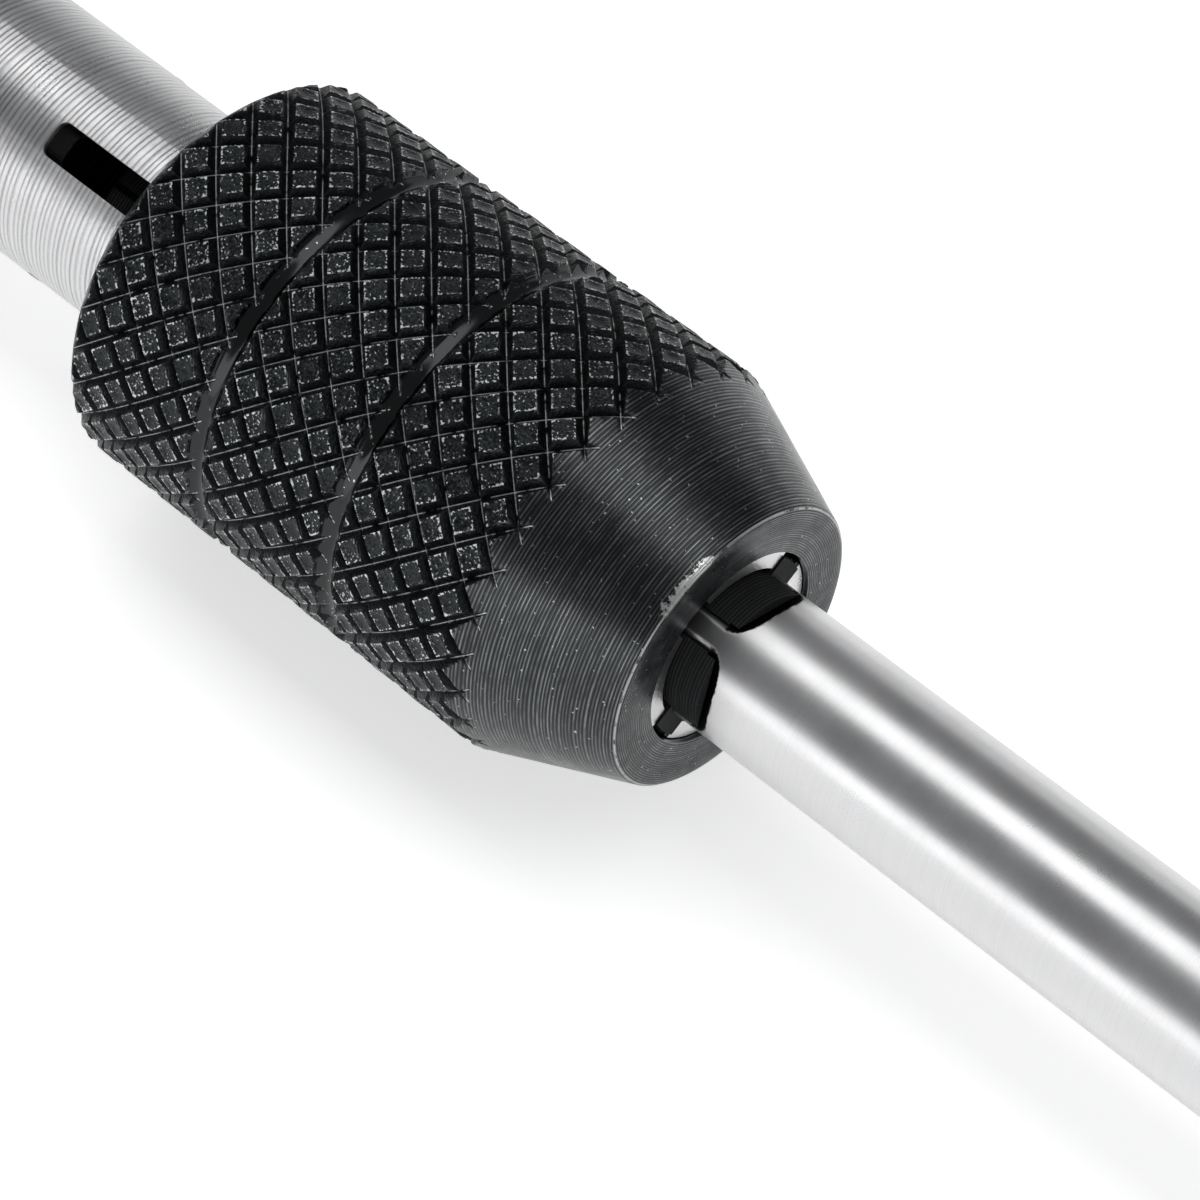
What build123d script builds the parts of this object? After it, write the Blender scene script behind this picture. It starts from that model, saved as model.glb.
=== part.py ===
from build123d import *
import math
import os

# T-handle ratchet tap wrench lying on its side, with a machine tap clamped in its two-jaw chuck.
# Every station s is measured in mm along the main axis from the sleeve's nose face, towards the tap.

# ---- driving dimensions (mm) ----
TAIL_S = -98.0            # rear end of the handle head
TIP_S = 60.0              # cutting end of the tap
AXIS_Z = 9.8              # height of the main axis: the sleeve, collar and head rest on the surface
NOSE_X = -(TAIL_S + TIP_S) / 2      # puts the origin under the middle of the whole length
ROLL = 30.0               # turn of the jaws' direction about the main axis, from +Y

# chuck sleeve
SLEEVE_R = 9.8
SLEEVE_REAR = -30.6
SLEEVE_CHAMFER = 0.5
CONE_START = -7.0
NOSE_R = 6.91
NOSE_EDGE = 0.25          # small chamfer round the nose face
NOSE_HOLE_R = 4.69
GROOVES = (-22.3, -14.3)  # the two plain grooves between the knurled bands
GROOVE_R = 0.55           # section radius of those grooves
GROOVE_CENTRE_R = SLEEVE_R + 0.05
THREAD_R = 6.4            # closing thread, drawn plain
SLEEVE_FIT = 0.03
CONE_SLOPE = math.tan(math.radians(12.5))    # closing cone inside the nose
LIP_S = -1.2              # where the closing cone ends
CONE_BIG_S = LIP_S - (THREAD_R + SLEEVE_FIT - NOSE_HOLE_R) / CONE_SLOPE

# split guide ring in the sleeve's rear end
GUIDE_S = SLEEVE_REAR + 1.75
GUIDE_W = 1.5
GUIDE_R = 6.9
GUIDE_FIT = 0.05
GUIDE_SPLIT = 0.8

# chuck body
BODY_R = 5.58
BORE_R = 3.8
BORE_END = -41.5
RING_S = -0.27            # front ring face, just inside the nose
FRONT_R = 4.62
FRONT_END = -1.6
FINGER_END = -4.8
FINGER_R = 5.4
SLOT_W = 1.8
SLOT_CORNER = 0.45
SLOT_END = -38.8
DRILL_POINT = 0.58        # length of the bore's conical end, in bore radii
THREAD_REAR = -24.0
THREAD_FRONT = -14.5
SHOULDER_S = -56.0        # the collar runs against this shoulder
SHOULDER_CHAMFER = 0.4
JOURNAL_R = 5.0
SHAFT_R = 3.5
SHAFT_END = -75.7

# tap with a 7.1 mm shank, 66 mm long
SHANK_R = 3.55
SHANK_CHAMFER = 0.4
SHANK_IN = -6.0
SQUARE_FLAT = 5.6
SQUARE_END = 0.9          # where the flats begin to rise to the shank
RUNOUT_R = 1.2            # radius of the cutter that leaves the flats' ends
THREAD_S = 41.0
TAP_THREAD_R = 3.5
TAPER_L = 5.5
TIP_R = 2.85
FLUTE_R = 1.4
FLUTE_OFFSET = 3.75

# jaws: half-round, with a V notch for two flats of the square, and a blade along the middle
JAW_FIT = 0.03
SHANK_FIT = 0.02
JAW_REAR = -35.9
JAW_FRONT = 1.3
JAW_R = 3.5
BLADE_W = SLOT_W - 2 * JAW_FIT
BLADE_REAR_R = 5.3        # keeps clear of the guide ring when the jaws open
BLADE_THREAD_R = THREAD_R - 0.2
BLADE_CONE_FIT = 0.04
BLADE_LIP_S = RING_S + 0.1      # the blade ends nearly flush with the body's front ring
BLADE_LIP_R = NOSE_HOLE_R - BLADE_CONE_FIT + CONE_SLOPE * (LIP_S - BLADE_LIP_S)
PAD_FRONT = SHANK_IN - 0.3      # behind the square the jaws are solid
PAD_GAP = 0.15
HEAD_GAP = 0.7
NOTCH_END = SQUARE_END - 0.05   # from here on the notch is wider, to clear the flats' ends
NOTCH_RELIEF = 0.17
SPRING_STATIONS = (-31.0, -24.0)
SPRING_HOLE_R = 1.05
SPRING_HOLE_DEPTH = 2.6
JAW_SPRING_L = 5.0

# ratchet
TEETH = 24
WHEEL_TIP_R = 5.6
WHEEL_ROOT_R = 4.6
TOOTH_ROOT_HALF = 0.16    # half width of a tooth space at the root and at the tip
TOOTH_TIP_HALF = 0.55
WHEEL_FRONT = -61.5
WHEEL_REAR = -66.0
KEY_W = 1.5
KEY_TOP_R = 4.1
KEY_BOTTOM_R = 2.7
PAWL_S = -63.8
PAWL_R = 1.8
PAWL_FIT = 0.03
PAWL_SHOULDER_R = 6.2
WEDGE_TIP_HALF = 0.10
WEDGE_SLOPE = 0.39        # same slope as the wheel's tooth flanks
WEDGE_L = 3.2
PAWL_TIP_R = 5.15         # half engaged: both pawls lock the wheel
PAWL_END_R = 7.55
PAWL_SPRING_TOP = 8.22    # the spring ends against the collar's bore
PAWL_BORE_DEPTH = 1.4
PAWL_PIN_R = 0.6
PAWL_PIN_AT = 7.0
PAWL_PIN_L = 4.3
PAWL_BORE_R = 1.1
PIN_SLOT_L = 4.0
PIN_SLOT_W = 2 * PAWL_PIN_R + 0.1
PIN_SLOT_DEPTH = 1.5

# selector collar and its eccentric cam
COLLAR_R = 9.8
COLLAR_FRONT = -56.2
COLLAR_REAR = -70.0
COLLAR_BORE_R = 8.35
FLANGE_S = -57.9
CAM_S = -60.7
CAM_R = 6.469
CAM_SHIFT = 1.183
SELECTOR_ANGLE = 25.0
CLICK_S = -68.2
CLICK_BALL_R = 1.0
CLICK_BALL_AT = 7.62
CLICK_HOLE_FOOT = 4.6
NOTCH_R = CLICK_BALL_R + 0.1
NOTCH_AT = 7.85
RUNNING_GROOVE_W = 1.7
RUNNING_GROOVE_H = 0.6
COLLAR_HOLE_R = JOURNAL_R + 0.05
COLLAR_CHAMFER = 0.4

# handle head
HEAD_FRONT = -61.0
HEAD_STEP = -70.2
HEAD_NECK_R = 8.3
HEAD_BODY_R = 9.8
HEAD_CHAMFER = 0.4
TAIL_CHAMFER = 1.5
BEARING_R = SHAFT_R + 0.03
CHAMBER_R = 5.75
CHAMBER_END = -66.5
BEARING_END = -75.5
AXIAL_BORE_R = 4.3

# washer and screw on the shaft's end
WASHER_R = AXIAL_BORE_R - 0.1
WASHER_HOLE_R = 1.6
WASHER_T = 0.9
SCREW_HOLE_R = 1.5
SCREW_R = 1.48
SCREW_L = 7.0
SCREW_HEAD_R = 2.75
SCREW_HEAD_L = 2.2
SCREW_SOCKET_R = 1.25
SCREW_SOCKET_L = 1.4

# sliding bar
BAR_S = -85.0
BAR_R = 4.0
BAR_FIT = 0.05
BAR_HALF = 55.0
KNOB_R = 5.5
KNOB_L = 9.0
SPIGOT_R = 3.0
SPIGOT_L = 6.0
BAR_FLAT = 3.6            # distance of the milled flat from the bar's axis
BAR_FLAT_HALF = 42.0
KNOB_ROUND = 2.4
KNOB_EDGE = 0.8

# spring plunger behind the bar
PLUNGER_REAR = TAIL_S + 0.3
PLUNGER_FRONT = -90.2
PLUNGER_R = AXIAL_BORE_R - 0.02
PLUNGER_BALL_R = 1.75
PLUNGER_BORE_R = PLUNGER_BALL_R + 0.05
PLUNGER_BORE_L = 4.4
PLUNGER_SOCKET_R = 2.0
PLUNGER_SOCKET_L = 2.2
SPRING_PLAY = 0.02
BALL_S = BAR_S - BAR_FLAT - SPRING_PLAY - PLUNGER_BALL_R

MAIN_AXIS = Axis((NOSE_X, 0, AXIS_Z), (1, 0, 0))
AXIAL = Plane(origin=(NOSE_X, 0, AXIS_Z), x_dir=(1, 0, 0), z_dir=(0, -1, 0))


def station(s, angle=0.0):
    """Plane across the main axis at station s, its local x turned by angle from +Y."""
    turn = math.radians(angle)
    across = (0, math.cos(turn), math.sin(turn))
    return Plane(origin=(NOSE_X + s, 0, AXIS_Z), x_dir=across, z_dir=(1, 0, 0))


def radial(s, angle, r=0.0):
    """Plane facing outwards at station s and radius r; its local x runs along the main axis."""
    turn = math.radians(angle)
    out = (0, math.cos(turn), math.sin(turn))
    origin = (NOSE_X + s, r * out[1], AXIS_Z + r * out[2])
    return Plane(origin=origin, x_dir=(1, 0, 0), z_dir=out)


def lengthwise(angle):
    """Plane through the main axis: local x along it, local y outwards at the given angle."""
    turn = math.radians(angle)
    normal = (0, -math.sin(turn), math.cos(turn))
    return Plane(origin=(NOSE_X, 0, AXIS_Z), x_dir=(1, 0, 0), z_dir=normal)


def build_coil(base, length, mean_r, wire_r, turns):
    """Open coil spring that starts on the base plane and runs along its normal."""
    rise = length - 2 * wire_r
    start = base.offset(wire_r)
    with BuildPart() as spring:
        with BuildLine() as path:
            Helix(rise / turns, rise, mean_r, center=start.origin, direction=start.z_dir)
        with BuildSketch(Plane(origin=path.wire() @ 0, z_dir=path.wire() % 0)):
            Circle(wire_r)
        sweep(path=path.wire(), is_frenet=True)
    return spring.part


os.makedirs("parts", exist_ok=True)

# ---- chuck body: turned, bored and crossed by two slots ----
with BuildPart() as chuck_body:
    with BuildSketch(AXIAL):
        with BuildLine():
            Polyline(
                (RING_S, 0),
                (RING_S, FRONT_R),
                (FRONT_END, FRONT_R),
                (FINGER_END, FINGER_R),
                (THREAD_FRONT, FINGER_R),
                (THREAD_FRONT, THREAD_R),
                (THREAD_REAR, THREAD_R),
                (THREAD_REAR, BODY_R),
                (SHOULDER_S + SHOULDER_CHAMFER, BODY_R),
                (SHOULDER_S, BODY_R - SHOULDER_CHAMFER),
                (SHOULDER_S, JOURNAL_R),
                (WHEEL_FRONT, JOURNAL_R),
                (WHEEL_FRONT, SHAFT_R),
                (SHAFT_END, SHAFT_R),
                (SHAFT_END, 0),
                close=True,
            )
        make_face()
    revolve(axis=MAIN_AXIS)
    # bore for the shank, with the drill's point at its end
    with BuildSketch(AXIAL):
        with BuildLine():
            Polyline(
                (RING_S, 0),
                (RING_S, BORE_R),
                (BORE_END, BORE_R),
                (BORE_END - DRILL_POINT * BORE_R, 0),
                close=True,
            )
        make_face()
    revolve(axis=MAIN_AXIS, mode=Mode.SUBTRACT)
    # two crossing slots; their ends keep the cutter's corner radius
    for angle in (ROLL, ROLL + 90):
        with BuildSketch(radial(SLOT_END, angle)):
            with Locations((-SLOT_END, 0)):
                RectangleRounded(-2 * SLOT_END, SLOT_W, SLOT_CORNER)
        extrude(amount=SLEEVE_R, both=True, mode=Mode.SUBTRACT)
    # tapped hole for the retaining screw
    with BuildSketch(station(SHAFT_END)):
        Circle(SCREW_HOLE_R)
    extrude(amount=SCREW_L, mode=Mode.SUBTRACT)
    # keyway for the ratchet wheel
    with BuildSketch(station(WHEEL_REAR)):
        with Locations((0, (KEY_BOTTOM_R + KEY_TOP_R) / 2)):
            Rectangle(KEY_W, KEY_TOP_R - KEY_BOTTOM_R)
    extrude(amount=WHEEL_FRONT - WHEEL_REAR, mode=Mode.SUBTRACT)
chuck_body.part.label = "chuck_body"
export_step(chuck_body.part, "parts/chuck_body.step")

# ---- chuck sleeve: thread, closing cone and the groove of the guide ring ----
with BuildPart() as chuck_sleeve:
    with BuildSketch(AXIAL):
        with BuildLine():
            Polyline(
                (SLEEVE_REAR, THREAD_R + SLEEVE_FIT),
                (SLEEVE_REAR, SLEEVE_R - SLEEVE_CHAMFER),
                (SLEEVE_REAR + SLEEVE_CHAMFER, SLEEVE_R),
                (CONE_START, SLEEVE_R),
                (-NOSE_EDGE, NOSE_R + NOSE_EDGE / 2),
                (0, NOSE_R - NOSE_EDGE / 2),
                (0, NOSE_HOLE_R),
                (LIP_S, NOSE_HOLE_R),
                (CONE_BIG_S, THREAD_R + SLEEVE_FIT),
                close=True,
            )
        make_face()
    revolve(axis=MAIN_AXIS)
    for s in GROOVES:
        with BuildSketch(AXIAL):
            with Locations((s, GROOVE_CENTRE_R)):
                Circle(GROOVE_R)
        revolve(axis=MAIN_AXIS, mode=Mode.SUBTRACT)
    with BuildSketch(AXIAL):
        with Locations((GUIDE_S, (THREAD_R + GUIDE_R + GUIDE_FIT) / 2)):
            Rectangle(GUIDE_W + 2 * GUIDE_FIT, GUIDE_R + GUIDE_FIT - THREAD_R)
    revolve(axis=MAIN_AXIS, mode=Mode.SUBTRACT)
chuck_sleeve.part.label = "chuck_sleeve"
export_step(chuck_sleeve.part, "parts/chuck_sleeve.step")

# ---- split guide ring in the sleeve's rear end ----
with BuildPart() as sleeve_guide_ring:
    with BuildSketch(AXIAL):
        with Locations((GUIDE_S, (BODY_R + GUIDE_FIT + GUIDE_R) / 2)):
            Rectangle(GUIDE_W, GUIDE_R - BODY_R - GUIDE_FIT)
    revolve(axis=MAIN_AXIS)
    with BuildSketch(radial(GUIDE_S, 270)):
        Rectangle(2 * GUIDE_W, GUIDE_SPLIT)
    extrude(amount=SLEEVE_R, mode=Mode.SUBTRACT)
sleeve_guide_ring.part.label = "sleeve_guide_ring"
export_step(sleeve_guide_ring.part, "parts/sleeve_guide_ring.step")


def build_jaw(angle):
    """One jaw: half-round body with a V notch for the tap's square, and a blade in the body's slot."""
    with BuildPart() as jaw:
        # blade, its outer edge turned to the closing cone
        with BuildSketch(AXIAL):
            with BuildLine():
                Polyline(
                    (JAW_REAR, 0),
                    (JAW_REAR, BLADE_REAR_R),
                    (THREAD_FRONT, BLADE_REAR_R),
                    (THREAD_FRONT + 1.0, BLADE_THREAD_R),
                    (CONE_BIG_S, BLADE_THREAD_R),
                    (CONE_BIG_S + 1.0, THREAD_R + SLEEVE_FIT - CONE_SLOPE - BLADE_CONE_FIT),
                    (BLADE_LIP_S, BLADE_LIP_R),
                    (BLADE_LIP_S, 0),
                    close=True,
                )
            make_face()
        revolve(axis=MAIN_AXIS)
        with BuildSketch(station(JAW_REAR, angle)):
            with Locations((SLEEVE_R / 2 + PAD_GAP, 0)):
                Rectangle(SLEEVE_R, BLADE_W)
        extrude(amount=JAW_FRONT - JAW_REAR, mode=Mode.INTERSECT)
        # half-round body, with a wider split beside the square
        with BuildSketch(station(JAW_REAR, angle)):
            Circle(JAW_R)
            with Locations((PAD_GAP - JAW_R, 0)):
                Rectangle(2 * JAW_R, 2 * JAW_R, mode=Mode.SUBTRACT)
        extrude(amount=JAW_FRONT - JAW_REAR)
        with BuildSketch(station(PAD_FRONT, angle)):
            with Locations((HEAD_GAP - JAW_R, 0)):
                Rectangle(2 * JAW_R, 3 * JAW_R)
        extrude(amount=JAW_FRONT - PAD_FRONT, mode=Mode.SUBTRACT)
        # V notch that takes the square by one of its corners
        for start, end, room in (
            (PAD_FRONT, NOTCH_END, JAW_FIT),
            (NOTCH_END, JAW_FRONT, NOTCH_RELIEF),
        ):
            with BuildSketch(station(start, angle)):
                Rectangle(SQUARE_FLAT + 2 * room, SQUARE_FLAT + 2 * room, rotation=45)
                Circle(SHANK_R + SHANK_FIT, mode=Mode.INTERSECT)
            extrude(amount=end - start, mode=Mode.SUBTRACT)
        # blind holes for the springs
        for s in SPRING_STATIONS:
            with BuildSketch(radial(s, angle)):
                Circle(SPRING_HOLE_R)
            extrude(amount=SPRING_HOLE_DEPTH, mode=Mode.SUBTRACT)
    return jaw.part


jaw_a = build_jaw(ROLL)
jaw_a.label = "jaw_a"
export_step(jaw_a, "parts/jaw_a.step")
jaw_b = build_jaw(ROLL + 180)
jaw_b.label = "jaw_b"
export_step(jaw_b, "parts/jaw_b.step")


# ---- springs between the two jaws ----
with BuildPart() as jaw_springs:
    for s in SPRING_STATIONS:
        add(build_coil(radial(s, ROLL, -JAW_SPRING_L / 2), JAW_SPRING_L, 0.7, 0.14, 8))
jaw_springs.part.label = "jaw_springs"
export_step(jaw_springs.part, "parts/jaw_springs.step")

# ---- machine tap: square, plain shank, fluted cutting end ----
with BuildPart() as tap:
    with BuildSketch(AXIAL):
        with BuildLine():
            Polyline(
                (SHANK_IN, 0),
                (SHANK_IN, SHANK_R - SHANK_CHAMFER),
                (SHANK_IN + SHANK_CHAMFER, SHANK_R),
                (THREAD_S, SHANK_R),
                (THREAD_S + 0.3, TAP_THREAD_R),
                (TIP_S - TAPER_L, TAP_THREAD_R),
                (TIP_S, TIP_R),
                (TIP_S, 0),
                close=True,
            )
        make_face()
    revolve(axis=MAIN_AXIS)
    # square end, two of its corners in the jaws' notches; the flats run out in the shank
    for angle in (45, 135, 225, 315):
        with BuildSketch(lengthwise(ROLL + angle)):
            with Locations(((SHANK_IN + SQUARE_END) / 2, SQUARE_FLAT / 2 + RUNOUT_R)):
                Rectangle(SQUARE_END - SHANK_IN, 2 * RUNOUT_R)
            with Locations((SQUARE_END, SQUARE_FLAT / 2 + RUNOUT_R)):
                Circle(RUNOUT_R)
        extrude(amount=SHANK_R, both=True, mode=Mode.SUBTRACT)
    # four flutes that run out in the shank
    for angle in (45, 135, 225, 315):
        with BuildSketch(station(THREAD_S, angle)):
            with Locations((FLUTE_OFFSET, 0)):
                Circle(FLUTE_R)
        extrude(amount=TIP_S - THREAD_S, mode=Mode.SUBTRACT)
        middle = station(THREAD_S, angle) * Pos(FLUTE_OFFSET, 0, 0)
        with Locations(middle):
            Sphere(FLUTE_R, mode=Mode.SUBTRACT)
tap.part.label = "tap"
export_step(tap.part, "parts/tap.step")

# ---- ratchet wheel and its key ----
with BuildPart() as ratchet_wheel:
    with BuildSketch(station(WHEEL_REAR)):
        Circle(WHEEL_TIP_R)
        Circle(SHAFT_R, mode=Mode.SUBTRACT)
        with PolarLocations(0, TEETH):
            Polygon(
                (WHEEL_ROOT_R, -TOOTH_ROOT_HALF),
                (WHEEL_TIP_R, -TOOTH_TIP_HALF),
                (WHEEL_TIP_R + 0.5, -TOOTH_TIP_HALF),
                (WHEEL_TIP_R + 0.5, TOOTH_TIP_HALF),
                (WHEEL_TIP_R, TOOTH_TIP_HALF),
                (WHEEL_ROOT_R, TOOTH_ROOT_HALF),
                align=None,
                mode=Mode.SUBTRACT,
            )
    extrude(amount=WHEEL_FRONT - WHEEL_REAR)
    with BuildSketch(station(WHEEL_REAR)):
        with Locations((0, KEY_TOP_R / 2)):
            Rectangle(KEY_W, KEY_TOP_R)
    extrude(amount=WHEEL_FRONT - WHEEL_REAR, mode=Mode.SUBTRACT)
ratchet_wheel.part.label = "ratchet_wheel"
export_step(ratchet_wheel.part, "parts/ratchet_wheel.step")

with BuildPart() as wheel_key:
    with BuildSketch(station(WHEEL_REAR)):
        with Locations((0, (KEY_BOTTOM_R + KEY_TOP_R) / 2)):
            Rectangle(KEY_W, KEY_TOP_R - KEY_BOTTOM_R)
    extrude(amount=WHEEL_FRONT - WHEEL_REAR)
wheel_key.part.label = "wheel_key"
export_step(wheel_key.part, "parts/wheel_key.step")

# ---- washer and screw that hold the head on the shaft ----
with BuildPart() as spindle_washer:
    with BuildSketch(station(SHAFT_END)):
        Circle(WASHER_R)
        Circle(WASHER_HOLE_R, mode=Mode.SUBTRACT)
    extrude(amount=-WASHER_T)
spindle_washer.part.label = "spindle_washer"
export_step(spindle_washer.part, "parts/spindle_washer.step")

screw_seat = SHAFT_END - WASHER_T
with BuildPart() as spindle_screw:
    with BuildSketch(station(screw_seat)):
        Circle(SCREW_R)
    extrude(amount=SCREW_L)
    with BuildSketch(station(screw_seat)):
        Circle(SCREW_HEAD_R)
    extrude(amount=-SCREW_HEAD_L)
    with BuildSketch(station(screw_seat - SCREW_HEAD_L)):
        RegularPolygon(SCREW_SOCKET_R, 6, major_radius=False)
    extrude(amount=SCREW_SOCKET_L, mode=Mode.SUBTRACT)
spindle_screw.part.label = "spindle_screw"
export_step(spindle_screw.part, "parts/spindle_screw.step")

# ---- handle head: ratchet housing and cross hole for the bar ----
bar_plane = Plane(origin=(NOSE_X + BAR_S, 0, AXIS_Z), x_dir=(1, 0, 0), z_dir=(0, 1, 0))
with BuildPart() as handle_head:
    with BuildSketch(AXIAL):
        with BuildLine():
            Polyline(
                (HEAD_FRONT, CHAMBER_R),
                (HEAD_FRONT, HEAD_NECK_R),
                (HEAD_STEP, HEAD_NECK_R),
                (HEAD_STEP, HEAD_BODY_R - HEAD_CHAMFER),
                (HEAD_STEP - HEAD_CHAMFER, HEAD_BODY_R),
                (TAIL_S + TAIL_CHAMFER, HEAD_BODY_R),
                (TAIL_S, HEAD_BODY_R - TAIL_CHAMFER),
                (TAIL_S, AXIAL_BORE_R),
                (BEARING_END, AXIAL_BORE_R),
                (BEARING_END, BEARING_R),
                (CHAMBER_END, BEARING_R),
                (CHAMBER_END, CHAMBER_R),
                close=True,
            )
        make_face()
    revolve(axis=MAIN_AXIS)
    with BuildSketch(bar_plane):
        Circle(BAR_R + BAR_FIT)
    extrude(amount=2 * HEAD_BODY_R, both=True, mode=Mode.SUBTRACT)
    for angle in (90, 270):
        # guide hole of a pawl, and the open slot for its lifting pin
        with BuildSketch(radial(PAWL_S, angle, JOURNAL_R)):
            Circle(PAWL_R + PAWL_FIT)
        extrude(amount=HEAD_NECK_R, mode=Mode.SUBTRACT)
        with BuildSketch(station(HEAD_FRONT, angle)):
            with Locations((PAWL_PIN_AT, 0)):
                Rectangle(PIN_SLOT_L, PIN_SLOT_W)
        extrude(amount=-PIN_SLOT_DEPTH, mode=Mode.SUBTRACT)
    with BuildSketch(radial(CLICK_S, 0, CLICK_HOLE_FOOT)):
        Circle(CLICK_BALL_R + PAWL_FIT)
    extrude(amount=HEAD_NECK_R, mode=Mode.SUBTRACT)
handle_head.part.label = "handle_head"
export_step(handle_head.part, "parts/handle_head.step")

# ---- selector collar with the eccentric cam behind its flange ----
with BuildPart() as selector_collar:
    with BuildSketch(AXIAL):
        with BuildLine():
            Polyline(
                (COLLAR_REAR, COLLAR_BORE_R),
                (COLLAR_REAR, COLLAR_R - COLLAR_CHAMFER),
                (COLLAR_REAR + COLLAR_CHAMFER, COLLAR_R),
                (COLLAR_FRONT - 1.0, COLLAR_R),
                (COLLAR_FRONT, COLLAR_R - 1.0),
                (COLLAR_FRONT, COLLAR_HOLE_R),
                (FLANGE_S, COLLAR_HOLE_R),
                (FLANGE_S, COLLAR_BORE_R),
                close=True,
            )
        make_face()
    revolve(axis=MAIN_AXIS)
    with BuildSketch(station(FLANGE_S)):
        with Locations((CAM_SHIFT, 0)):
            Circle(CAM_R)
        Circle(COLLAR_HOLE_R, mode=Mode.SUBTRACT)
    extrude(amount=CAM_S - FLANGE_S)
    # running groove and the three notches of the click ball
    with BuildSketch(AXIAL):
        with Locations((CLICK_S, COLLAR_BORE_R)):
            Rectangle(RUNNING_GROOVE_W, RUNNING_GROOVE_H)
    revolve(axis=MAIN_AXIS, mode=Mode.SUBTRACT)
    for angle in (-SELECTOR_ANGLE, 0, SELECTOR_ANGLE):
        with Locations(radial(CLICK_S, angle, NOTCH_AT)):
            Sphere(NOTCH_R, mode=Mode.SUBTRACT)
selector_collar.part.label = "selector_collar"
export_step(selector_collar.part, "parts/selector_collar.step")

with BuildPart() as selector_ball:
    with Locations(radial(CLICK_S, 0, CLICK_BALL_AT)):
        Sphere(CLICK_BALL_R)
selector_ball.part.label = "selector_ball"
export_step(selector_ball.part, "parts/selector_ball.step")

spring_seat = CLICK_HOLE_FOOT + SPRING_PLAY
spring_length = CLICK_BALL_AT - CLICK_BALL_R - SPRING_PLAY - spring_seat
selector_spring = build_coil(radial(CLICK_S, 0, spring_seat), spring_length, 0.7, 0.14, 4)
selector_spring.label = "selector_spring"
export_step(selector_spring, "parts/selector_spring.step")


def build_pawl(angle):
    """One pawl: round plunger with a wedge tooth, a lifting pin and a hole for its spring."""
    wedge_half = WEDGE_TIP_HALF + WEDGE_SLOPE * (PAWL_SHOULDER_R - PAWL_TIP_R)
    with BuildPart() as pawl:
        with BuildSketch(radial(PAWL_S, angle, PAWL_SHOULDER_R)):
            Circle(PAWL_R)
        extrude(amount=PAWL_END_R - PAWL_SHOULDER_R)
        with BuildSketch(station(PAWL_S - WEDGE_L / 2, angle)):
            with BuildLine():
                Polyline(
                    (PAWL_TIP_R, -WEDGE_TIP_HALF),
                    (PAWL_SHOULDER_R, -wedge_half),
                    (PAWL_SHOULDER_R, wedge_half),
                    (PAWL_TIP_R, WEDGE_TIP_HALF),
                    close=True,
                )
            make_face()
        extrude(amount=WEDGE_L)
        with BuildSketch(station(PAWL_S + 0.5, angle)):
            with Locations((PAWL_PIN_AT, 0)):
                Circle(PAWL_PIN_R)
        extrude(amount=PAWL_PIN_L)
        with BuildSketch(radial(PAWL_S, angle, PAWL_END_R)):
            Circle(PAWL_BORE_R)
        extrude(amount=-PAWL_BORE_DEPTH, mode=Mode.SUBTRACT)
    return pawl.part


for name, angle in (("a", 90), ("b", 270)):
    pawl = build_pawl(angle)
    pawl.label = "pawl_" + name
    export_step(pawl, "parts/pawl_" + name + ".step")
    spring_foot = PAWL_END_R - PAWL_BORE_DEPTH + SPRING_PLAY
    pawl_spring = build_coil(
        radial(PAWL_S, angle, spring_foot), PAWL_SPRING_TOP - spring_foot, 0.8, 0.12, 4
    )
    pawl_spring.label = "pawl_spring_" + name
    export_step(pawl_spring, "parts/pawl_spring_" + name + ".step")

# ---- sliding bar and its knobs ----
with BuildPart() as t_bar:
    with BuildSketch(bar_plane):
        Circle(BAR_R)
    extrude(amount=BAR_HALF - KNOB_L, both=True)
    with BuildSketch(bar_plane):
        Circle(SPIGOT_R)
    extrude(amount=BAR_HALF - KNOB_L + SPIGOT_L, both=True)
    with BuildSketch(bar_plane):
        with Locations((-BAR_FLAT - 1, 0)):
            Rectangle(2, 2 * BAR_R)
    extrude(amount=BAR_FLAT_HALF, both=True, mode=Mode.SUBTRACT)
t_bar.part.label = "t_bar"
export_step(t_bar.part, "parts/t_bar.step")

for name, side in (("left", -1), ("right", 1)):
    knob_plane = bar_plane.offset(side * (BAR_HALF - KNOB_L))
    with BuildPart() as t_bar_knob:
        with BuildSketch(knob_plane):
            Circle(KNOB_R)
        extrude(amount=side * KNOB_L)
        outward = Axis((0, 0, 0), (0, side, 0))
        fillet(t_bar_knob.edges().filter_by(GeomType.CIRCLE).sort_by(outward)[-1], KNOB_ROUND)
        fillet(t_bar_knob.edges().filter_by(GeomType.CIRCLE).sort_by(outward)[0], KNOB_EDGE)
        with BuildSketch(knob_plane):
            Circle(SPIGOT_R)
        extrude(amount=side * SPIGOT_L, mode=Mode.SUBTRACT)
    t_bar_knob.part.label = "t_bar_knob_" + name
    export_step(t_bar_knob.part, "parts/t_bar_knob_" + name + ".step")

# ---- spring plunger in the head's rear end, pressing on the bar's flat ----
with BuildPart() as bar_plunger_body:
    with BuildSketch(station(PLUNGER_REAR)):
        Circle(PLUNGER_R)
    extrude(amount=PLUNGER_FRONT - PLUNGER_REAR)
    with BuildSketch(station(PLUNGER_FRONT)):
        Circle(PLUNGER_BORE_R)
    extrude(amount=-PLUNGER_BORE_L, mode=Mode.SUBTRACT)
    with BuildSketch(station(PLUNGER_REAR)):
        RegularPolygon(PLUNGER_SOCKET_R, 6, major_radius=False)
    extrude(amount=PLUNGER_SOCKET_L, mode=Mode.SUBTRACT)
bar_plunger_body.part.label = "bar_plunger_body"
export_step(bar_plunger_body.part, "parts/bar_plunger_body.step")

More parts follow.
